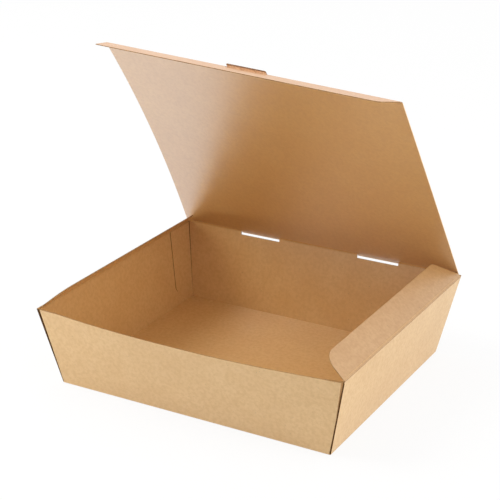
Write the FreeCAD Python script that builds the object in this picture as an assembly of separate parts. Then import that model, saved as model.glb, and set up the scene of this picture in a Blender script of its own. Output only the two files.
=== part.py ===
import FreeCAD, Part
import math
import os

from FreeCAD import Vector as V

# A one-piece folded kraft board takeaway box, standing open as in the photograph.
# X runs along the front, Y runs to the back and Z is up. The origin is the centre of the base's underside.
# The real box is one sheet of board. It is split here only where the lid or a flap swings.

# Board
board = 0.5                # thickness of the sheet
fold_radius = 0.8          # outside radius of a pressed fold
hinge_gap = 0.12           # between a swinging panel's round root and the panel that carries it

# Base and the four flared walls, outside sizes
base_width = 200.0
base_depth = 166.0
hinge_height = 56.0        # height of the lid's crease above the table
side_flare = 11.0          # how far each side wall leans out at that height
front_flare = 10.0
back_flare = 13.0
rim_drop = 0.9             # the front and side rims lie one board and a little air below the lid
front_bulge = 6.6          # the free front rim bows out in its middle
bulge_left = 0.94          # from this share of half the width on the left, where its bow begins
bulge_right = 1.3          # to here on the right, past the corner, so its cut end stands off the lap
lap_bulge_right = 1.02     # the glued laps bow out only as far as here, and meet the side wall's fold

# Slots cut under the lid's crease
slot_length = 32.0
slot_height = 2.9
slot_inner_end = 31.6      # from the centre line

# Slits at the front corners, between the front wall's cut end and the side wall's fold
slit_top_width = 2.9
slit_bottom_width = 0.35

# Glued corner laps
lap_top_width = 26.5       # from the fold, which leans out with the wall
lap_bottom_width = 23.0
lap_corner_height = 11.0   # the lap's lower edge rises this much from the fold to its free corner
lap_corner_radius = 4.0
lap_top_gap = 0.9          # below the rim

# Lid
lid_left = 111.0           # from the tray's centre line to the lid's left side
lid_right = 108.7          # and to its right side
lid_opening = 56.0         # degrees from shut, at the middle
lid_twist = 4.4            # the left side stands this much further open than the right side
lid_curl = 4.8             # depth of the curl along the left side
lid_curl_right = 0.3       # and along the right side
lid_front_clearance = 2.6  # between the lid's front crease and the front rim's outside, when shut
tab_width = 29.4           # pull tab in the middle of the lid's front crease
tab_length = 3.3
tab_corner_radius = 0.8

# Tuck flap on the lid's front crease
tuck_fold = 41.8           # degrees from the lid's own plane at its front
tuck_depth = 20.4
tuck_root_inset = 0.6      # each end, from the lid's side
tuck_end_taper = 5.6       # each end, over the flap's depth
tuck_left_radius = 2.2
tuck_right_radius = 5.0
tab_clearance = 0.4        # round the notch that the tab was cut from

# Dust flaps on the side walls' top creases
right_dust_rise = 35.7     # degrees above level
left_dust_rise = 41.0
dust_depth = 19.4
dust_front_setback = 4.8   # from the front rim's outside to the flap's front end
dust_front_slope = 4.6     # the front end slants back this much over the flap's depth
dust_front_radius = 12.5
dust_back_setback = 0.9    # from the lid's crease to the flap's back end
dust_back_shoulder = 2.1   # the back end is square this far, and slants from there
dust_back_slope = 14.8
dust_back_radius = 4.5

# Worked out from the sizes above
half_width = base_width / 2
half_depth = base_depth / 2
root_radius = board / 2
root_room = root_radius + hinge_gap
rim_height = hinge_height - rim_drop
side_lean = side_flare / hinge_height
front_lean = front_flare / hinge_height
back_lean = back_flare / hinge_height
side_skin = board * math.hypot(1, side_lean)
front_skin = board * math.hypot(1, front_lean)
back_skin = board * math.hypot(1, back_lean)
hinge_y = half_depth + back_flare - back_skin / 2
dust_axis_x = half_width + side_lean * rim_height - side_skin / 2
front_rim_y = -(half_depth + front_flare)
lid_length = hinge_y - front_rim_y - lid_front_clearance
far = base_width + base_depth


def polygon(points):
    """A face with straight sides through the points."""
    return Part.Face(Part.makePolygon(list(points) + [points[0]]))


def rounded_polygon(corners):
    """A face through (x, y, radius) corners in the XY plane, each corner rounded by its own radius."""
    count = len(corners)
    starts = []
    ends = []
    middles = []
    for i, (x, y, radius) in enumerate(corners):
        here = V(x, y, 0)
        before = V(corners[i - 1][0], corners[i - 1][1], 0)
        after = V(corners[(i + 1) % count][0], corners[(i + 1) % count][1], 0)
        to_before = (before - here).normalize()
        to_after = (after - here).normalize()
        if radius == 0:
            starts.append(here)
            ends.append(here)
            middles.append(None)
            continue
        half_angle = to_before.getAngle(to_after) / 2
        reach = radius / math.tan(half_angle)
        starts.append(here + to_before * reach)
        ends.append(here + to_after * reach)
        bisector = (to_before + to_after).normalize()
        middles.append(here + bisector * (radius / math.sin(half_angle) - radius))
    edges = []
    for i in range(count):
        if middles[i] is not None:
            edges.append(Part.Arc(starts[i], middles[i], ends[i]).toShape())
        edges.append(Part.makeLine(ends[i], starts[(i + 1) % count]))
    return Part.Face(Part.Wire(edges))


def solid_from(faces):
    """A solid inside faces that meet edge to edge and all face outwards."""
    shell = Part.makeShell(faces)
    shell.sewShape()
    return Part.makeSolid(shell)


def wall_corners(height, inset_x, inset_front, inset_back):
    """The walls' corners at a height, moved inwards: front left, front right, back right, back left."""
    x = half_width + side_lean * height - inset_x
    front = -(half_depth + front_lean * height) + inset_front
    back = half_depth + back_lean * height - inset_back
    return [V(-x, front, height), V(x, front, height), V(x, back, height), V(-x, back, height)]


def corner_x(height):
    """Just inside a side wall, at a height."""
    return half_width + side_lean * height - side_skin - hinge_gap


def front_end_x(height):
    """The front wall's cut end at a height, beside the slit."""
    share = (height - board) / hinge_height
    return corner_x(height) - slit_bottom_width - (slit_top_width - slit_bottom_width) * share


def bulge(inset_front, right):
    """What the bowed front rim adds in front of the flat wall. It fades out towards the base's fold."""
    low = wall_corners(fold_radius + board, 0, inset_front, 0)[0]
    high = wall_corners(hinge_height + board, 0, inset_front, 0)[0]
    narrowing = low.x / high.x
    low_left = V(-bulge_left * half_width * narrowing, low.y, low.z)
    low_right = V(right * half_width * narrowing, low.y, low.z)
    high_left = V(-bulge_left * half_width, high.y, high.z)
    high_right = V(right * half_width, high.y, high.z)
    fullest = (high_left + high_right) / 2 - V(0, front_bulge, 0)
    rim = Part.Arc(high_left, fullest, high_right).toShape()
    faces = [
        Part.makeRuledSurface(Part.makeLine(low_left, low_right), rim),
        polygon([low_left, low_right, high_right, high_left]),
        Part.Face(Part.Wire([rim, Part.makeLine(high_right, high_left)])),
    ]
    top = hinge_height + board
    past_the_end = polygon([
        V(front_end_x(board), -far, board),
        V(far, -far, board),
        V(far, -far, top),
        V(front_end_x(top), -far, top),
    ])
    return solid_from(faces).cut(past_the_end.extrude(V(0, far, 0)))


def tub(bottom, inset_x, inset_front, inset_back, radius=0.0, bulge_end=bulge_right):
    """The space between the flared walls, from the bottom to above the rim, with its folds rounded."""
    low = wall_corners(bottom, inset_x, inset_front, inset_back)
    high = wall_corners(hinge_height + board, inset_x, inset_front, inset_back)
    faces = [polygon(list(reversed(low))), polygon(high)]
    for i in range(4):
        j = (i + 1) % 4
        faces.append(polygon([low[i], low[j], high[j], high[i]]))
    solid = solid_from(faces)
    if radius > 0:
        heights = [(e, [v.Point.z for v in e.Vertexes]) for e in solid.Edges]
        corner_folds = [e for e, z in heights if min(z) < bottom + 0.001 < max(z)]
        solid = solid.makeFillet(radius, corner_folds)
        base_folds = [e for e in solid.Edges if max(v.Point.z for v in e.Vertexes) < bottom + 0.001]
        solid = solid.makeFillet(radius, base_folds)
    return solid.fuse(bulge(inset_front, bulge_end))


def box_between(x0, x1, y0, y1, z0, z1):
    """A box from its lowest and highest corners."""
    return Part.makeBox(x1 - x0, y1 - y0, z1 - z0, V(x0, y0, z0))


def corner_lap_outline(lean):
    """A glued lap's outline: its fold leans out from 0 at the base, it reaches along +X, and Y is the height."""
    top = rim_height - lap_top_gap
    return rounded_polygon([
        (-far, 0, 0),
        (0, 0, 0),
        (lap_bottom_width - lean * lap_corner_height, lap_corner_height, lap_corner_radius),
        (lap_top_width - lean * top, top, 0),
        (-far, top, 0),
    ])


def back_laps():
    """The back wall's two laps, glued inside the side walls."""
    inner = tub(board, side_skin, front_skin, back_skin)
    layer = inner.cut(tub(board, 2 * side_skin, front_skin, back_skin))
    outline = corner_lap_outline(back_lean)
    outline.rotate(V(0, 0, 0), V(1, 0, 0), 90)
    outline.rotate(V(0, 0, 0), V(0, 0, 1), -90)
    outline.translate(V(-far / 2, half_depth, board))
    return layer.common(outline.extrude(V(far, 0, 0)))


def front_laps():
    """The side walls' two laps, glued behind the front wall."""
    inner = tub(board, side_skin, front_skin, back_skin, 0.0, lap_bulge_right)
    layer = inner.cut(tub(board, side_skin, 2 * front_skin, back_skin, 0.0, lap_bulge_right))
    laps = []
    for side in (1, -1):
        outline = corner_lap_outline(side_lean)
        outline.rotate(V(0, 0, 0), V(1, 0, 0), 90)
        outline.translate(V(-half_width, 0, board))
        prism = outline.extrude(V(0, -far, 0))
        if side == 1:
            prism = prism.mirror(V(0, 0, 0), V(1, 0, 0))
        laps.append(layer.common(prism))
    return laps[0].fuse(laps[1])


def front_slit(side):
    """The wedge-shaped gap at a front corner, through the front wall alone."""
    top = hinge_height + board
    wedge = polygon([
        V(side * corner_x(board), -far, board),
        V(side * front_end_x(board), -far, board),
        V(side * front_end_x(top), -far, top),
        V(side * corner_x(top), -far, top),
    ])
    return wedge.extrude(V(0, far, 0)).cut(tub(board, 0, front_skin, 0))


def make_tray():
    """The base, the four walls and the glued laps as one folded sheet."""
    shell = tub(0, 0, 0, 0, fold_radius)
    shell = shell.cut(tub(board, side_skin, front_skin, back_skin))
    for side in (1, -1):
        shell = shell.cut(front_slit(side))
    shell = shell.fuse(back_laps()).fuse(front_laps())
    side_top = rim_height - root_room
    back_top = hinge_height - root_room
    back_inner_y = hinge_y - back_skin / 2
    inside_x = dust_axis_x - 2 * board - root_room
    shell = shell.cut(box_between(-far, far, -far, far, back_top, far))
    shell = shell.cut(box_between(-far, far, -far, back_inner_y - back_lean * board, rim_height, far))
    for side in (1, -1):
        low, high = sorted((side * inside_x, side * far))
        shell = shell.cut(box_between(low, high, -far, back_inner_y - back_lean * board, side_top, far))
        low, high = sorted((side * slot_inner_end, side * (slot_inner_end + slot_length)))
        shell = shell.cut(box_between(low, high, half_depth, far, hinge_height - slot_height, far))
    return shell.removeSplitter()


def outward(angle):
    """The outside face's direction on a lid that is open by this angle. Shut, it is straight up."""
    return V(0, math.sin(angle), math.cos(angle))


def forward(angle):
    """The direction from the back crease along a lid that is open by this angle. Shut, it is frontwards."""
    return V(0, -math.cos(angle), math.sin(angle))


def lid_side(side):
    """The lid's section at one side, as a wire, with its front crease's point and its last direction."""
    curl = lid_curl if side < 0 else lid_curl_right
    length = lid_length - root_room
    chord_angle = math.radians(lid_opening - side * lid_twist / 2)
    turn = 4 * curl / length
    radius = length / (2 * turn)
    first = chord_angle + turn
    last = chord_angle - turn
    hinge = V(-lid_left if side < 0 else lid_right, hinge_y, hinge_height)
    centre = hinge - outward(first) * radius

    def at(angle, offset):
        return centre + outward(angle) * (radius + offset)

    def arc(offset, start, end):
        return Part.Arc(at(start, offset), at((start + end) / 2, offset), at(end, offset)).toShape()

    root_back = hinge - forward(first) * root_radius
    wire = Part.Wire([
        arc(root_radius, first, last),
        Part.makeLine(at(last, root_radius), at(last, -root_radius)),
        arc(-root_radius, last, first),
        Part.Arc(at(first, -root_radius), root_back, at(first, root_radius)).toShape(),
    ])
    return wire, at(last, 0) + forward(last) * root_room, last


def placed(shape, origin, x_axis, y_axis):
    """A copy of a shape made in the XY plane, moved to an origin and turned to two directions."""
    x = V(x_axis).normalize()
    z = x.cross(y_axis).normalize()
    y = z.cross(x)
    copy = shape.copy()
    copy.transformShape(FreeCAD.Matrix(
        x.x, y.x, z.x, origin.x,
        x.y, y.y, z.y, origin.y,
        x.z, y.z, z.z, origin.z,
        0, 0, 0, 1))
    return copy


def panel(face):
    """A flat outline made into board, half of it on each side of the XY plane."""
    face = face.copy()
    face.translate(V(0, 0, -root_radius))
    return face.extrude(V(0, 0, board))


def root_bead(start, end):
    """The round root along a panel's crease, on the X axis of the panel's own plane."""
    return Part.makeCylinder(root_radius, end - start, V(start, 0, 0), V(1, 0, 0))


def make_lid():
    """The curled lid with its pull tab, and where its front crease lies."""
    left, left_end, left_angle = lid_side(-1)
    right, right_end, right_angle = lid_side(1)
    lid = Part.makeLoft([left, right], True, True)
    crease_line = right_end - left_end
    crease_middle = left_end + crease_line * (lid_left / (lid_left + lid_right))
    end_angle = (left_angle + right_angle) / 2
    tab = panel(rounded_polygon([
        (-tab_width / 2, -root_room - board, 0),
        (tab_width / 2, -root_room - board, 0),
        (tab_width / 2, tab_length, tab_corner_radius),
        (-tab_width / 2, tab_length, tab_corner_radius),
    ]))
    tab = placed(tab, crease_middle, crease_line, forward(end_angle))
    return lid.fuse(tab), crease_middle, crease_line, end_angle


def make_tuck_flap(crease_middle, crease_line, end_angle):
    """The tuck flap, with the notch that the pull tab was cut from."""
    left_share = lid_left / (lid_left + lid_right)
    left = -crease_line.Length * left_share + tuck_root_inset
    right = crease_line.Length * (1 - left_share) - tuck_root_inset
    flap = panel(rounded_polygon([
        (left, 0, 0),
        (right, 0, 0),
        (right - tuck_end_taper, tuck_depth, tuck_right_radius),
        (left + tuck_end_taper, tuck_depth, tuck_left_radius),
    ]))
    flap = flap.fuse(root_bead(left, right))
    half_notch = tab_width / 2 + tab_clearance
    notch = panel(rounded_polygon([
        (-half_notch, -board, 0),
        (half_notch, -board, 0),
        (half_notch, tab_length + tab_clearance, tab_corner_radius),
        (-half_notch, tab_length + tab_clearance, tab_corner_radius),
    ]))
    flap = flap.cut(notch)
    return placed(flap, crease_middle, crease_line, forward(end_angle - math.radians(tuck_fold)))


def make_dust_flap(side):
    """A dust flap on one side wall, raised on its crease."""
    front = front_rim_y + dust_front_setback
    back = hinge_y - dust_back_setback
    flap = panel(rounded_polygon([
        (front, 0, 0),
        (back, 0, 0),
        (back, dust_back_shoulder, 0),
        (back - dust_back_slope, dust_depth, dust_back_radius),
        (front + dust_front_slope, dust_depth, dust_front_radius),
    ]))
    flap = flap.fuse(root_bead(front, back))
    rise = math.radians(left_dust_rise if side < 0 else right_dust_rise)
    inward = V(-side * math.cos(rise), 0, math.sin(rise))
    return placed(flap, V(side * dust_axis_x, 0, rim_height), V(0, 1, 0), inward)


def save(name, shape):
    """Write one piece to the parts folder and print its volume."""
    if len(shape.Solids) != 1 or not shape.isValid():
        raise RuntimeError(f"{name} is not one valid solid")
    shape.Solids[0].exportStep(f"parts/{name}.step")
    print(name, "volume", round(shape.Volume, 1))


def main():
    os.makedirs("parts", exist_ok=True)
    lid, crease_middle, crease_line, end_angle = make_lid()
    save("tray", make_tray())
    save("lid", lid)
    save("tuck_flap", make_tuck_flap(crease_middle, crease_line, end_angle))
    save("right_dust_flap", make_dust_flap(1))
    save("left_dust_flap", make_dust_flap(-1))
    along = V(crease_line).normalize()
    print("lid crease at y", round(hinge_y, 4), "z", hinge_height)
    print("tuck crease through", tuple(round(c, 4) for c in crease_middle))
    print("tuck crease along", tuple(round(c, 6) for c in along))
    print("dust creases at x", round(dust_axis_x, 4), "z", round(rim_height, 4))


main()
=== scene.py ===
import math

import bmesh
import bpy
from mathutils import Matrix, Vector


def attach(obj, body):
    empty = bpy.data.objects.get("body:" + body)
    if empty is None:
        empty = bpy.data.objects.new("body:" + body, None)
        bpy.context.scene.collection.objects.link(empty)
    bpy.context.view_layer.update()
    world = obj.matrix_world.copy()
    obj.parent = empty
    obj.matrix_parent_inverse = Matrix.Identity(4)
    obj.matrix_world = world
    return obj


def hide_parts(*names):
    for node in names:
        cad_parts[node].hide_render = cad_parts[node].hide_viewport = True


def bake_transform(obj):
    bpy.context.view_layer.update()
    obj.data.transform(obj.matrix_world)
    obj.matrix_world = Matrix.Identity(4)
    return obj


# A kraft board takeaway box, dressed and lit as in the photograph. X runs along its front, Y to its back.

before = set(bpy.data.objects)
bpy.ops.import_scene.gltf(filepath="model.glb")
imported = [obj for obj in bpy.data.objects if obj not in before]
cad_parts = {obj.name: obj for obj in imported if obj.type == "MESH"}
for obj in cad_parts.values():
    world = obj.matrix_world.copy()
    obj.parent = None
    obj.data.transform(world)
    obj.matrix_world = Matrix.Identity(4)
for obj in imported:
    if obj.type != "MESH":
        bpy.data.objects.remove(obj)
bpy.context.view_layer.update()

# Lengths are in millimetres and angles in degrees, up to the room at the end.
MM = 0.001

# The part's own sizes that the pieces below meet.
BOARD = 0.5
HALF_WIDTH = 100.0
HALF_DEPTH = 83.0
HINGE_HEIGHT = 56.0
RIM_HEIGHT = 55.1
SIDE_LEAN = 11.0 / 56.0
FRONT_LEAN = 10.0 / 56.0
BACK_LEAN = 13.0 / 56.0
FRONT_BULGE = 6.6
BULGE_LEFT = -94.0
BULGE_RIGHT = 130.0
BULGE_NARROWING = 0.0976
FOLD_TOP = 1.3
SLIT_TOP = 2.9
SLIT_BOTTOM = 0.35
CORNER_ROOM = 0.12
HINGE_Y = 95.7434
DUST_X = 110.5684
LID_LEFT = -111.0
LID_RIGHT = 108.7
LID_OPENING = 56.0
LID_TWIST = 4.4
LID_CURL_LEFT = 4.8
LID_CURL_RIGHT = 0.3
LID_FRONT_DROP = 2.0
LID_LENGTH = 186.1434
ROOT_ROOM = 0.37
TUCK_FOLD = 41.8
TUCK_INSET = 0.6
DUST_RISES = {"left": 41.0, "right": 35.7}
DUST_FRONT_Y = -88.2
DUST_BACK_GAP = 0.9
NOTCH_HALF = 15.1
SLOT_INNER = 31.6
SLOT_OUTER = 63.6

# How the front of the real tray stands where it differs from the part.
BOW_DEPTH = 6.0
BOW_MIDDLE = 8.0
BOW_HALF = 104.0
BOW_POWER = 2.5
RIM_RISE = 1.5
ENDS_FROM = 90.0
RIGHT_END_PAST = 0.25
LEFT_END_PAST = 0.2
LEFT_END_OPEN = 1.9
FOLDS_FROM = 92.0
RIGHT_FOLD_BACK = 2.1
RIGHT_FOLD_TOP = 2.2
LEFT_FOLD_BACK = 0.9
LEFT_FOLD_OUT = 1.3


def node(tree, kind, **values):
    """A shader node with its properties and its unlinked inputs set by name."""
    made = tree.nodes.new(kind)
    for name, value in values.items():
        if name in made.inputs:
            made.inputs[name].default_value = value
        else:
            setattr(made, name, value)
    return made


def srgb(r, g, b):
    """A colour written as 0 to 255 in sRGB, as the linear values that a shader takes."""
    def linear(c):
        c = c / 255
        return c / 12.92 if c <= 0.04045 else ((c + 0.055) / 1.055) ** 2.4
    return (linear(r), linear(g), linear(b), 1.0)


def mix_colour(tree, factor, a, b):
    """A colour mix node's result. Each of factor, a and b is a value or another node's output."""
    made = tree.nodes.new("ShaderNodeMix")
    made.data_type = "RGBA"
    made.blend_type = "MIX"
    for socket, value in zip((made.inputs[0], made.inputs[6], made.inputs[7]), (factor, a, b)):
        if isinstance(value, bpy.types.NodeSocket):
            tree.links.new(value, socket)
        else:
            socket.default_value = value
    return made.outputs[2]


def ramp(tree, factor, low, high, low_value=0.0, high_value=1.0):
    """A value that goes from low_value to high_value as factor goes from low to high."""
    made = tree.nodes.new("ShaderNodeMapRange")
    made.interpolation_type = "SMOOTHSTEP"
    tree.links.new(factor, made.inputs["Value"])
    made.inputs["From Min"].default_value = low
    made.inputs["From Max"].default_value = high
    made.inputs["To Min"].default_value = low_value
    made.inputs["To Max"].default_value = high_value
    return made.outputs["Result"]


def stretched_noise(tree, place, turn, across, along, offset):
    """Noise drawn out into short strokes. turn is a rotation in radians round X, Y and Z."""
    mapping = node(tree, "ShaderNodeMapping")
    mapping.inputs["Location"].default_value = (offset, offset * 0.7, offset * 1.3)
    mapping.inputs["Rotation"].default_value = turn
    mapping.inputs["Scale"].default_value = (along, across, across)
    tree.links.new(place, mapping.inputs["Vector"])
    noise = node(tree, "ShaderNodeTexNoise", Scale=1.0, Detail=2.0, Roughness=0.55)
    tree.links.new(mapping.outputs["Vector"], noise.inputs["Vector"])
    return noise.outputs["Fac"]


def kraft(name, base, dark, light, fleck, roughness, ior, coat=0.0, offset=0.0):
    """Unbleached board: cloudy pulp, short fibres all ways, a few bark specks and a calendered gloss.
    base, dark and light are sRGB colours, and offset moves the pattern."""
    base, dark, light = srgb(*base), srgb(*dark), srgb(*light)
    material = bpy.data.materials.new(name)
    material.use_nodes = True
    tree = material.node_tree
    shader = tree.nodes["Principled BSDF"]
    place = node(tree, "ShaderNodeTexCoord").outputs["Object"]

    def plain_noise(scale, detail, rough):
        noise = node(tree, "ShaderNodeTexNoise", Scale=scale, Detail=detail, Roughness=rough)
        mapping = node(tree, "ShaderNodeMapping")
        mapping.inputs["Location"].default_value = (offset, offset * 2.1, -offset)
        tree.links.new(place, mapping.inputs["Vector"])
        tree.links.new(mapping.outputs["Vector"], noise.inputs["Vector"])
        return noise.outputs["Fac"]

    clouds = plain_noise(55.0, 3.0, 0.6)
    mottle = plain_noise(420.0, 3.0, 0.6)
    grain = plain_noise(2600.0, 2.0, 0.6)
    colour = mix_colour(tree, ramp(tree, clouds, 0.3, 0.7, 0.0, 0.55), base, light)
    colour = mix_colour(tree, ramp(tree, mottle, 0.35, 0.68, 0.0, 0.5), colour, dark)
    strokes = [
        ((0.0, 0.0, 0.0), 3300.0, 360.0, 1.0),
        ((0.0, 0.0, 1.2), 3100.0, 330.0, 2.0),
        ((0.0, 0.9, 0.5), 3500.0, 380.0, 3.0),
        ((0.4, 0.0, -0.7), 2900.0, 300.0, 4.0),
    ]
    fibres = [stretched_noise(tree, place, *stroke[:3], offset + stroke[3]) for stroke in strokes]
    for index, fibre in enumerate(fibres):
        if index % 2:
            amount = ramp(tree, fibre, 0.62, 0.76, 0.0, 0.42 * fleck)
            colour = mix_colour(tree, amount, colour, light)
        else:
            amount = ramp(tree, fibre, 0.6, 0.76, 0.0, 0.5 * fleck)
            colour = mix_colour(tree, amount, colour, dark)
    specks = node(tree, "ShaderNodeTexVoronoi", Scale=210.0, Randomness=1.0)
    tree.links.new(place, specks.inputs["Vector"])
    spot = ramp(tree, specks.outputs["Distance"], 0.035, 0.075, 0.5 * fleck, 0.0)
    colour = mix_colour(tree, spot, colour, srgb(96, 58, 26))
    tree.links.new(colour, shader.inputs["Base Color"])
    sheen = ramp(tree, mottle, 0.3, 0.7, roughness - 0.05, roughness + 0.07)
    tree.links.new(sheen, shader.inputs["Roughness"])
    shader.inputs["Specular IOR Level"].default_value = 1.0
    shader.inputs["IOR"].default_value = ior
    shader.inputs["Coat Weight"].default_value = coat
    shader.inputs["Coat Roughness"].default_value = 0.35

    height = node(tree, "ShaderNodeMath", operation="ADD")
    tree.links.new(grain, height.inputs[0])
    tree.links.new(fibres[0], height.inputs[1])
    both = node(tree, "ShaderNodeMath", operation="ADD")
    tree.links.new(height.outputs[0], both.inputs[0])
    tree.links.new(fibres[1], both.inputs[1])
    bump = node(tree, "ShaderNodeBump", Strength=0.35, Distance=0.00006)
    tree.links.new(both.outputs[0], bump.inputs["Height"])
    tree.links.new(bump.outputs["Normal"], shader.inputs["Normal"])
    return material


outside = kraft(
    "kraft_outside", (210, 166, 97), (193, 146, 76), (221, 181, 116),
    fleck=1.0, roughness=0.47, ior=1.66, coat=0.4)
inside = kraft(
    "kraft_inside", (211, 165, 101), (194, 145, 81), (219, 177, 116),
    fleck=1.0, roughness=0.36, ior=1.55, coat=0.4, offset=3.0)
# The lid's inside is the same inside board painted darker and redder: painted shade for the lid that
# leans over the open box.
painted_shade_lid_inside = kraft(
    "kraft_lid_painted_shade", (192, 142, 72), (177, 125, 58), (202, 156, 87),
    fleck=0.5, roughness=0.36, ior=2.25, coat=1.0, offset=3.0)
# The dust flaps' tops are the walls' outside board painted darker: painted shade for the flaps under the
# open lid.
painted_shade_flap_face = kraft(
    "kraft_flap_painted_shade", (189, 141, 80), (173, 123, 62), (201, 156, 98),
    fleck=1.0, roughness=0.47, ior=1.66, coat=0.3, offset=4.0)
# The tuck flap's outside is the outside board painted paler and pinker: painted light for the top light
# on it.
painted_light_tuck_face = kraft(
    "kraft_tuck_painted_light", (216, 165, 117), (198, 144, 95), (226, 181, 136),
    fleck=0.7, roughness=0.5, ior=1.6, coat=0.3, offset=6.0)
tab_face = kraft(
    "kraft_tab", (226, 170, 122), (150, 98, 58), (244, 200, 158),
    fleck=1.8, roughness=0.7, ior=1.4, offset=8.0)
# A pale edge colour: a painted highlight on the lid's right cut edge.
painted_highlight_edge = kraft(
    "kraft_painted_highlight_edge", (240, 206, 160), (222, 182, 134), (248, 220, 182),
    fleck=0.8, roughness=0.6, ior=1.5, offset=2.0)
cut = kraft(
    "kraft_cut_edge", (150, 112, 70), (112, 80, 46), (188, 150, 102),
    fleck=1.6, roughness=0.85, ior=1.3, offset=7.0)
torn = kraft(
    "kraft_torn_edge", (146, 112, 82), (108, 78, 52), (182, 146, 112),
    fleck=1.8, roughness=0.9, ior=1.3, offset=11.0)
# A dark board colour: painted shade for the narrow gaps at the tray's front corners.
painted_corner_shade = kraft(
    "kraft_painted_corner_shade", (78, 50, 20), (60, 38, 16), (94, 64, 32),
    fleck=0.6, roughness=0.9, ior=1.1, offset=9.0)

# The places of a node's materials. On the tray the last one holds painted shade for the slits and folds
# at the front corners; on the lid it holds the right cut edge's painted highlight.
OUTSIDE, INSIDE, CUT, EXTRA = range(4)


def outward(angle):
    """The outside's direction on a lid or tuck flap that stands open by this many radians."""
    return Vector((0, math.sin(angle), math.cos(angle)))


def eased(value):
    """From 0 to 1 with a smooth start and end."""
    value = min(1.0, max(0.0, value))
    return value * value * (3 - 2 * value)


def corner_inside(z):
    """How far out the side wall's inside is at a height."""
    return HALF_WIDTH + SIDE_LEAN * z - BOARD - CORNER_ROOM


def front_cut(z):
    """How far out the part's front wall goes at a height."""
    return corner_inside(z) - SLIT_BOTTOM - (SLIT_TOP - SLIT_BOTTOM) * (z - BOARD) / HINGE_HEIGHT


def front_plane(z):
    """Where the front wall's flat outside plane is at a height."""
    return -HALF_DEPTH - FRONT_LEAN * z


def front_height(z):
    """A height's share of the front wall above its fold."""
    return (z - FOLD_TOP) / (HINGE_HEIGHT + BOARD - FOLD_TOP)


def part_bow(x, z):
    """How far the part's front wall stands out from its flat plane."""
    h = front_height(z)
    narrowing = 1 - (1 - h) * BULGE_NARROWING
    middle = (BULGE_LEFT + BULGE_RIGHT) / 2
    half = (BULGE_RIGHT - BULGE_LEFT) / 2
    return max(0.0, FRONT_BULGE * h * (1 - ((x / narrowing - middle) / half) ** 2))


def true_bow(x, z):
    """The same with the flatter, even bow that the real rim has."""
    return max(0.0, BOW_DEPTH * front_height(z) * (1 - abs((x - BOW_MIDDLE) / BOW_HALF) ** BOW_POWER))


def settled(p):
    """Where a point of the tray's front goes as the soft board settles: the rim's bow, the ends of the
    front wall over the corner laps, and the corner folds that spring back a little."""
    x, y, z = p
    flat = front_plane(z)
    h = min(1.0, max(0.0, front_height(z)))
    depth = y - (flat - part_bow(x, z))
    if z > FOLD_TOP - 0.05 and -0.1 < depth < 0.56 and abs(x) < front_cut(z) + 0.06:
        y += part_bow(x, z) - true_bow(x, z)
        reach = (abs(x) - ENDS_FROM) / (front_cut(z) - ENDS_FROM)
        above_fold = min(1.0, h * 8)
        if reach > 0 and x > 0:
            end = HALF_WIDTH + SIDE_LEAN * z + RIGHT_END_PAST
            x += reach * (end - front_cut(z)) * above_fold
        elif reach > 0:
            end = corner_inside(z) + LEFT_END_PAST - LEFT_END_OPEN * eased((z - 22) / 34)
            x -= reach * (end - front_cut(z)) * above_fold
        return Vector((x, y, z + RIM_RISE * h * eased((x - 10) / 101)))
    if y < flat + 6 and z > FOLD_TOP and abs(x) > ENDS_FROM:
        sideways = eased((abs(x) - FOLDS_FROM) / (corner_inside(z) - FOLDS_FROM))
        near = sideways * eased((flat + 6 - y) / 5)
        above_fold = min(1.0, h * 6)
        if x > 0:
            y += near * (RIGHT_FOLD_BACK * above_fold + RIGHT_FOLD_TOP * eased((z - 43) / 12))
        else:
            y += near * LEFT_FOLD_BACK * above_fold
            x -= near * LEFT_FOLD_OUT * eased((z - 42) / 13)
    return Vector((x, y, z))


def tray_side(centre, normal):
    """Which of the board's sides a face of the tray shows."""
    x, y, z = centre
    across = abs(x)
    flat = front_plane(z)
    rim = normal.z > 0.75 and z > 45
    slot_end = abs(normal.x) > 0.85 and y > 85 and across < 75
    lap_edge = across > 94 and 40 < y < 80 and abs(normal.y) > 0.7
    wall_end = y < flat + 0.6 and abs(normal.x) > 0.85 and across > 98 and z > 1.5
    if rim or slot_end or lap_edge or wall_end:
        return CUT
    if abs(normal.z) > 0.9:
        return INSIDE if normal.z > 0 else OUTSIDE
    # Faces seen through the front corner slits and on the corner folds get painted shade, a dark board
    # colour for the shadow in the gaps.
    in_slit = normal.y < -0.6 and front_cut(z) < across < corner_inside(z) + 0.05
    on_fold = normal.y < -0.4 and across >= corner_inside(z) and y < flat + 8
    if z > 1.5 and (in_slit or on_fold):
        return EXTRA
    inward = -(x / HALF_WIDTH) * normal.x - (y / HALF_DEPTH) * normal.y
    return INSIDE if inward > 0 else OUTSIDE


def flat_side(out):
    """The same for a panel whose outside faces one direction."""
    def side(centre, normal):
        facing = normal.dot(out)
        if abs(facing) < 0.6:
            return CUT
        return OUTSIDE if facing > 0 else INSIDE
    return side


def lid_side(centre, normal):
    """The lid's sides. Its right cut edge is painted pale, a painted highlight."""
    side = flat_side(outward(math.radians(LID_OPENING)))(centre, normal)
    return EXTRA if side == CUT and normal.x > 0.7 else side


def dress(name, side, materials):
    """Outside board, inside board and cut edges on a CAD node."""
    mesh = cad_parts[name].data
    mesh.materials.clear()
    for material in materials:
        mesh.materials.append(material)
    for polygon in mesh.polygons:
        polygon.material_index = side(polygon.center / MM, polygon.normal)


def sharpen(mesh, degrees=32):
    """Smooth faces with sharp edges where the board turns by more than a few degrees."""
    edit = bmesh.new()
    edit.from_mesh(mesh)
    for face in edit.faces:
        face.smooth = True
    for edge in edit.edges:
        edge.smooth = len(edge.link_faces) == 2 and edge.calc_face_angle(0.0) < math.radians(degrees)
    edit.to_mesh(mesh)
    edit.free()


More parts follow.
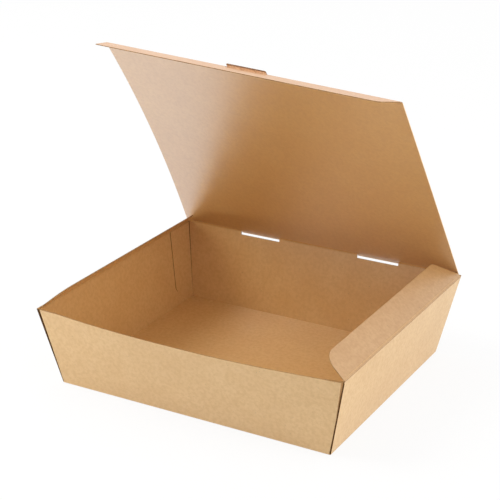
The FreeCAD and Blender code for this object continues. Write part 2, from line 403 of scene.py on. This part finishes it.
def make_tray():
    """The tray as it stands in use: the part's own sheet, with its front settled."""
    mesh = bpy.data.meshes.new("tray_sheet")
    edit = bmesh.new()
    edit.from_mesh(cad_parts["tray"].data)
    bmesh.ops.remove_doubles(edit, verts=edit.verts, dist=1e-6)
    sides = {}
    for face in edit.faces:
        sides[face.index] = tray_side(face.calc_center_median() / MM, face.normal)
    for vertex in edit.verts:
        vertex.co = settled(vertex.co / MM) * MM
    for face in edit.faces:
        face.material_index = sides[face.index]
    edit.to_mesh(mesh)
    edit.free()
    if "custom_normal" in mesh.attributes:
        mesh.attributes.remove(mesh.attributes["custom_normal"])
    for material in (outside, inside, cut, painted_corner_shade):
        mesh.materials.append(material)
    sharpen(mesh)
    obj = bpy.data.objects.new("tray_sheet", mesh)
    bpy.context.scene.collection.objects.link(obj)
    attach(obj, "tray")
    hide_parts("tray")
    return obj


make_tray()
dress("lid", lid_side, (outside, painted_shade_lid_inside, cut, painted_highlight_edge))
tuck_angle = math.radians(LID_OPENING - TUCK_FOLD - LID_FRONT_DROP)
dress("tuck_flap", flat_side(outward(tuck_angle)), (painted_light_tuck_face, inside, cut))
for side_name, sign in (("left", -1), ("right", 1)):
    steepness = math.radians(DUST_RISES[side_name])
    up_face = Vector((sign * math.sin(steepness), 0, math.cos(steepness)))
    dress(f"{side_name}_dust_flap", flat_side(up_face), (painted_shade_flap_face, inside, cut))


def forward(angle):
    """The direction from the hinge towards the front on a lid that stands open by this many radians."""
    return Vector((0, -math.cos(angle), math.sin(angle)))


def lid_section(side):
    """The lid's first and last direction angle and its front crease point at one side."""
    curl = LID_CURL_LEFT if side < 0 else LID_CURL_RIGHT
    length = LID_LENGTH - ROOT_ROOM
    chord = math.radians(LID_OPENING - side * LID_TWIST / 2)
    turn = 4 * curl / length
    radius = length / (2 * turn)
    first, last = chord + turn, chord - turn
    hinge = Vector((LID_LEFT if side < 0 else LID_RIGHT, HINGE_Y, HINGE_HEIGHT))
    centre = hinge - outward(first) * radius
    return first, last, centre + outward(last) * radius + forward(last) * ROOT_ROOM


def mesh_object(name, points, faces, material):
    """An object from points in millimetres."""
    mesh = bpy.data.meshes.new(name)
    mesh.from_pydata([tuple(p * MM) for p in points], [], faces)
    mesh.validate()
    mesh.materials.append(material)
    for polygon in mesh.polygons:
        polygon.use_smooth = True
    obj = bpy.data.objects.new(name, mesh)
    bpy.context.scene.collection.objects.link(obj)
    return obj


def crease(name, stations, skins, reach=1.3, proud=0.02, bead=0.10):
    """The folded board along a crease. Each station is its point on the axis, the direction back into
    the first panel, the direction on into the second, and the direction of the fold's hollow side."""
    steps = 10
    ring = []
    for here, back, on, hollow in stations:
        back, on, hollow = back.normalized(), on.normalized(), hollow.normalized()
        inner, outer = [], []
        for i in range(steps + 1):
            t = i / steps
            centre = here + back * reach * (1 - t) ** 2 + on * reach * t ** 2
            along = (on * t - back * (1 - t)).normalized()
            normal = hollow - along * hollow.dot(along)
            normal.normalize()
            swell = math.sin(math.pi * t) ** 2
            inner.append(centre + normal * (BOARD / 2 + proud + bead * swell))
            outer.append(centre - normal * (BOARD / 2 + proud))
        ring.append(inner + list(reversed(outer)))
    count = len(ring[0])
    points = [p for section in ring for p in section]
    faces = []
    for s in range(len(ring) - 1):
        for i in range(count):
            j = (i + 1) % count
            here, there = s * count, (s + 1) * count
            faces.append((here + i, here + j, there + j, there + i))
    faces.append(tuple(range(count)))
    last = (len(ring) - 1) * count
    faces.append(tuple(last + i for i in reversed(range(count))))
    obj = mesh_object(name, points, faces, skins[0])
    obj.data.materials.append(skins[1])
    for polygon in obj.data.polygons:
        if polygon.index % count <= steps and polygon.index < count * (len(ring) - 1):
            polygon.material_index = 1
    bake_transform(obj)
    return obj


def between(a, b, count):
    """Evenly spaced values from a to b."""
    return [a + (b - a) * i / count for i in range(count + 1)]


left_first, left_last, left_front = lid_section(-1)
right_first, right_last, right_front = lid_section(1)


def share(x):
    """How far across the lid a place is, from 0 at its left side to 1 at its right."""
    return (x - LID_LEFT) / (LID_RIGHT - LID_LEFT)


wall_down = Vector((0, -BACK_LEAN, -1))
back_hollow = Vector((0, -1, 0))
lid_runs = [(LID_LEFT, -SLOT_OUTER), (-SLOT_INNER, SLOT_INNER), (SLOT_OUTER, LID_RIGHT)]
for number, (x0, x1) in enumerate(lid_runs):
    stations = []
    for x in between(x0, x1, 12):
        angle = left_first + (right_first - left_first) * share(x)
        stations.append((Vector((x, HINGE_Y, HINGE_HEIGHT)), wall_down, forward(angle), back_hollow))
    name = f"lid_crease_{number + 1}"
    crease(name, stations, (outside, inside), reach=0.8, bead=0.14)


def bar(name, path, across, up, width, height, material, body):
    """A strip of board along a path. across and up are its section's two directions."""
    across, up = across.normalized() * width / 2, up.normalized() * height / 2
    points, faces = [], []
    for here in path:
        points += [here - across - up, here + across - up, here + across + up, here - across + up]
    for s in range(len(path) - 1):
        for i in range(4):
            j = (i + 1) % 4
            faces.append((4 * s + i, 4 * s + j, 4 * s + 4 + j, 4 * s + 4 + i))
    faces.append((3, 2, 1, 0))
    last = 4 * (len(path) - 1)
    faces.append((last, last + 1, last + 2, last + 3))
    obj = mesh_object(name, points, faces, material)
    for polygon in obj.data.polygons:
        polygon.use_smooth = False
    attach(obj, body)
    return obj


# The lid's board goes on a little past its crease over each slot. The lip is all inside board, so its cut
# edges are painted pale, a painted highlight.
LIP_DEPTH = 1.9
LIP_MIDDLE = 0.78
LIP_END_GAP = 0.15
for number, (x0, x1) in enumerate([(-SLOT_OUTER, -SLOT_INNER), (SLOT_INNER, SLOT_OUTER)]):
    angle = left_first + (right_first - left_first) * share((x0 + x1) / 2)
    down = -forward(angle)
    middle = Vector((0, HINGE_Y, HINGE_HEIGHT)) + down * LIP_MIDDLE
    lip = [middle + Vector((x, 0, 0)) for x in between(x0 + LIP_END_GAP, x1 - LIP_END_GAP, 8)]
    bar(f"slot_lip_{number + 1}", lip, outward(angle), down, BOARD, LIP_DEPTH, inside, "lid")

# The crease between the lid and the tuck flap, on both sides of the pull tab.
along = right_front - left_front
front_length = along.length
crease_zero = left_front + along * share(0)
along.normalize()
crease_left = -front_length * share(0)
crease_right = crease_left + front_length
end_angle = (left_last + right_last) / 2
tuck_direction = forward(end_angle - math.radians(TUCK_FOLD))
tuck_runs = [(crease_left + TUCK_INSET, -NOTCH_HALF), (NOTCH_HALF, crease_right - TUCK_INSET)]
for number, (x0, x1) in enumerate(tuck_runs):
    stations = []
    for x in between(x0, x1, 12):
        angle = left_last + (right_last - left_last) * (x - crease_left) / front_length
        hollow = Vector((0, -0.4, -1))
        stations.append((crease_zero + along * x, -forward(angle), tuck_direction, hollow))
    crease(f"tuck_crease_{number + 1}", stations, (painted_light_tuck_face, painted_shade_lid_inside))


def make_pull_tab():
    """The tab in the lid's plane beyond its crease, with the rough edge that tearing it free leaves."""
    half, reach, corner, thick = 14.7, 3.45, 0.8, 0.46
    torn_from, teeth_from, tooth_depth = 2.7, 2.9, 0.09
    up, through = forward(end_angle), along.cross(forward(end_angle)).normalized()
    rows = [-0.6, 0.0, 0.8, 1.6, 2.3, 2.7, 2.95, 3.2, reach]
    columns = 96
    points, faces, edges = [], [], []
    for layer in (-thick / 2, thick / 2):
        for y in rows:
            past = max(0.0, y - (reach - corner))
            width = half - corner + math.sqrt(max(0.0, corner ** 2 - past ** 2))
            for i in range(columns + 1):
                x = (2 * i / columns - 1) * width
                tooth = tooth_depth * math.sin(i * math.pi / 2) * (y > teeth_from)
                points.append(crease_zero + along * x + up * (y + tooth) + through * layer)
    across, size = columns + 1, len(rows) * (columns + 1)
    for r in range(len(rows) - 1):
        for i in range(columns):
            a = r * across + i
            faces.append((a, a + across, a + across + 1, a + 1))
            b = a + size
            faces.append((b, b + 1, b + across + 1, b + across))
            rough = rows[r] >= torn_from
            edges += [rough, rough]
    rim = list(range(across))
    rim += [r * across + columns for r in range(1, len(rows))]
    rim += [(len(rows) - 1) * across + i for i in reversed(range(columns))]
    rim += [r * across for r in reversed(range(1, len(rows) - 1))]
    for a, b in zip(rim, rim[1:] + rim[:1]):
        faces.append((a, b, b + size, a + size))
        edges.append(True)
    obj = mesh_object("pull_tab", points, faces, tab_face)
    obj.data.materials.append(torn)
    for polygon, rough in zip(obj.data.polygons, edges):
        polygon.material_index = 1 if rough else 0
        polygon.use_smooth = False
    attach(obj, "lid")
    return obj


make_pull_tab()

for side, name in ((-1, "left"), (1, "right")):
    rise = math.radians(DUST_RISES[name])
    stations = []
    for y in between(DUST_FRONT_Y, HINGE_Y - DUST_BACK_GAP, 16):
        here = Vector((side * DUST_X, y, RIM_HEIGHT))
        back = Vector((-side * SIDE_LEAN, 0, -1))
        on = Vector((-side * math.cos(rise), 0, math.sin(rise)))
        stations.append((here, back, on, Vector((-side, 0, -0.3))))
    crease(f"{name}_dust_crease", stations, (outside, inside))


def ray_kinds(tree, *kinds):
    """1 for the named kinds of ray and 0 for the others."""
    path = node(tree, "ShaderNodeLightPath")
    result = path.outputs[kinds[0]]
    for kind in kinds[1:]:
        either = node(tree, "ShaderNodeMath", operation="MAXIMUM")
        tree.links.new(result, either.inputs[0])
        tree.links.new(path.outputs[kind], either.inputs[1])
        result = either.outputs[0]
    return result


def mix_shaders(tree, factor, a, b):
    """A shader that goes from a to b as factor goes from 0 to 1."""
    blend = node(tree, "ShaderNodeMixShader")
    tree.links.new(factor, blend.inputs[0])
    tree.links.new(a.outputs[0], blend.inputs[1])
    tree.links.new(b.outputs[0], blend.inputs[2])
    return blend.outputs[0]


# The room, in metres: a white floor that keeps a part of the box's shadow, and a white surround.
FLOOR_HALF = 6.0
FLOOR_DROP = 0.0002
FLOOR_GLOW = 0.88
floor_mesh = bpy.data.meshes.new("floor")
corners = [(x * FLOOR_HALF, y * FLOOR_HALF, 0) for x, y in ((-1, -1), (1, -1), (1, 1), (-1, 1))]
floor_mesh.from_pydata(corners, [], [(0, 1, 2, 3)])
floor = bpy.data.objects.new("floor", floor_mesh)
floor.location.z = -FLOOR_DROP
bpy.context.scene.collection.objects.link(floor)
paper = bpy.data.materials.new("white_sweep")
paper.use_nodes = True
tree = paper.node_tree
tree.nodes.clear()
output = node(tree, "ShaderNodeOutputMaterial")
diffuse = node(tree, "ShaderNodeBsdfDiffuse", Color=(0.9, 0.9, 0.9, 1))
glow = node(tree, "ShaderNodeEmission", Color=(1, 1, 1, 1), Strength=1.0)
weight = node(tree, "ShaderNodeMath", operation="MULTIPLY")
weight.inputs[1].default_value = FLOOR_GLOW
tree.links.new(ray_kinds(tree, "Is Camera Ray", "Is Glossy Ray"), weight.inputs[0])
tree.links.new(mix_shaders(tree, weight.outputs[0], diffuse, glow), output.inputs["Surface"])
floor_mesh.materials.append(paper)

# The surround lights the box less from the low front, which the lid's inside faces.
world = bpy.data.worlds.new("surround")
bpy.context.scene.world = world
world.use_nodes = True
tree = world.node_tree
tree.nodes.clear()
output = node(tree, "ShaderNodeOutputWorld")
toward = node(tree, "ShaderNodeVectorMath", operation="DOT_PRODUCT")
toward.inputs[1].default_value = Vector((0, 0.83, 0.56))
tree.links.new(node(tree, "ShaderNodeTexCoord").outputs["Generated"], toward.inputs[0])
soft = node(tree, "ShaderNodeBackground", Color=(1, 1, 1, 1))
tree.links.new(ramp(tree, toward.outputs["Value"], -0.9, 0.3, 0.12, 0.98), soft.inputs["Strength"])
seen = node(tree, "ShaderNodeBackground", Color=(1, 1, 1, 1), Strength=1.0)
direct = ray_kinds(tree, "Is Camera Ray", "Is Glossy Ray", "Is Transmission Ray")
tree.links.new(mix_shaders(tree, direct, soft, seen), output.inputs["Surface"])


def lamp(name, place, target, width, power):
    """A square soft box at a place, aimed at a target."""
    data = bpy.data.lights.new(name, "AREA")
    data.shape = "SQUARE"
    data.size = width
    data.energy = power
    data.color = (1, 1, 0.99)
    obj = bpy.data.objects.new(name, data)
    obj.location = place
    obj.rotation_mode = "QUATERNION"
    obj.rotation_quaternion = (Vector(target) - Vector(place)).to_track_quat("-Z", "Y")
    bpy.context.scene.collection.objects.link(obj)
    return obj


lamp("left", (-1.1, -0.55, 1.35), (0, 0, 0.0), 0.9, 13.0)
lamp("right", (1.6, 0.1, 0.25), (0, 0, 0.05), 1.0, 12.0)
lamp("low_left", (-0.45, -0.25, 0.0), (-0.08, 0.0, 0.2), 0.16, 1.5)

# The camera stands where the photograph's did. SHIFT_RIGHT and SHIFT_UP are metres across its view.
AZIMUTH = math.radians(29.3824)
ELEVATION = math.radians(21.7714)
ROLL = math.radians(-0.0508)
DISTANCE = 0.99312
FOCAL_WIDTHS = 2.8956
SHIFT_RIGHT = -0.0025
SHIFT_UP = 0.07998
SENSOR = 36.0

toward_camera = Vector((
    math.sin(AZIMUTH) * math.cos(ELEVATION),
    -math.cos(AZIMUTH) * math.cos(ELEVATION),
    math.sin(ELEVATION)))
level_right = (-toward_camera).cross(Vector((0, 0, 1))).normalized()
level_up = level_right.cross(-toward_camera)
view_right = level_right * math.cos(ROLL) + level_up * math.sin(ROLL)
view_up = level_up * math.cos(ROLL) - level_right * math.sin(ROLL)
eye = view_right * SHIFT_RIGHT + view_up * SHIFT_UP + toward_camera * DISTANCE
camera_data = bpy.data.cameras.new("camera")
camera_data.sensor_width = SENSOR
camera_data.lens = FOCAL_WIDTHS * SENSOR
camera_data.clip_start = 0.01
camera_data.clip_end = 50.0
camera = bpy.data.objects.new("camera", camera_data)
pose = Matrix((view_right, view_up, toward_camera)).transposed().to_4x4()
pose.translation = eye
camera.matrix_world = pose
bpy.context.scene.collection.objects.link(camera)
bpy.context.scene.camera = camera
bpy.context.scene.view_settings.view_transform = "Standard"
